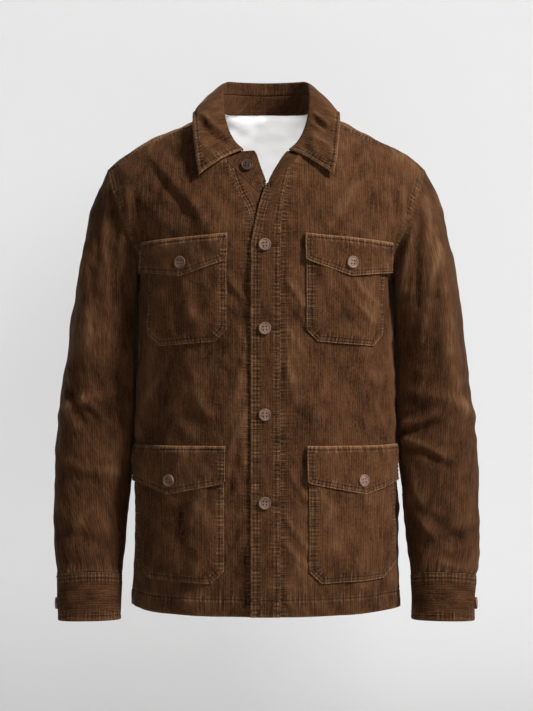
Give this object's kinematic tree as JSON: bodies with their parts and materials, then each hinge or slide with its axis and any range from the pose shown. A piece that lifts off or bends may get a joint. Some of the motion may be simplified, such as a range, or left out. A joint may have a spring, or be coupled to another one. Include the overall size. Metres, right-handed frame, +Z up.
{
  "type": "corduroy jacket",
  "caption": "Men's corduroy shirt jacket with a turned-down collar, buttoned front, flapped breast and lower patch pockets and buttoned cuffs, worn open at the neck.",
  "frame": {"origin": "on the jacket's middle plane between the shoulders, level with where the jacket rests on them", "axes": "+Z up the wearer's back towards the head, -Y out of the buttoned front, +X towards the wearer's left arm"},
  "size_m": [0.64, 0.2781, 0.824],
  "materials": {
    "corduroy": "fine-wale brown cotton corduroy with a short, slightly worn pile",
    "corduroy_inside": "the same corduroy on the collar stand, less worn",
    "button": "brown horn-effect plastic with a soft shine"
  },
  "bodies": {
    "root": {"back": "corduroy", "breast_flap_left": "corduroy", "breast_flap_right": "corduroy", "breast_pocket_left": "corduroy", "breast_pocket_right": "corduroy", "button_breast_left": "button", "button_breast_right": "button", "button_cuff_left": "button", "button_cuff_right": "button", "button_front_1": "button", "button_front_2": "button", "button_front_3": "button", "button_front_4": "button", "button_lower_left": "button", "button_lower_right": "button", "button_neck": "button", "collar_fall": "corduroy", "collar_stand": "corduroy_inside", "cuff_left": "corduroy", "cuff_right": "corduroy", "front_left": "corduroy", "front_right": "corduroy", "lower_flap_left": "corduroy", "lower_flap_right": "corduroy", "lower_pocket_left": "corduroy", "lower_pocket_right": "corduroy", "placket_left": "corduroy", "placket_right": "corduroy", "sleeve_left": "corduroy", "sleeve_right": "corduroy"}
  },
  "joints": []
}
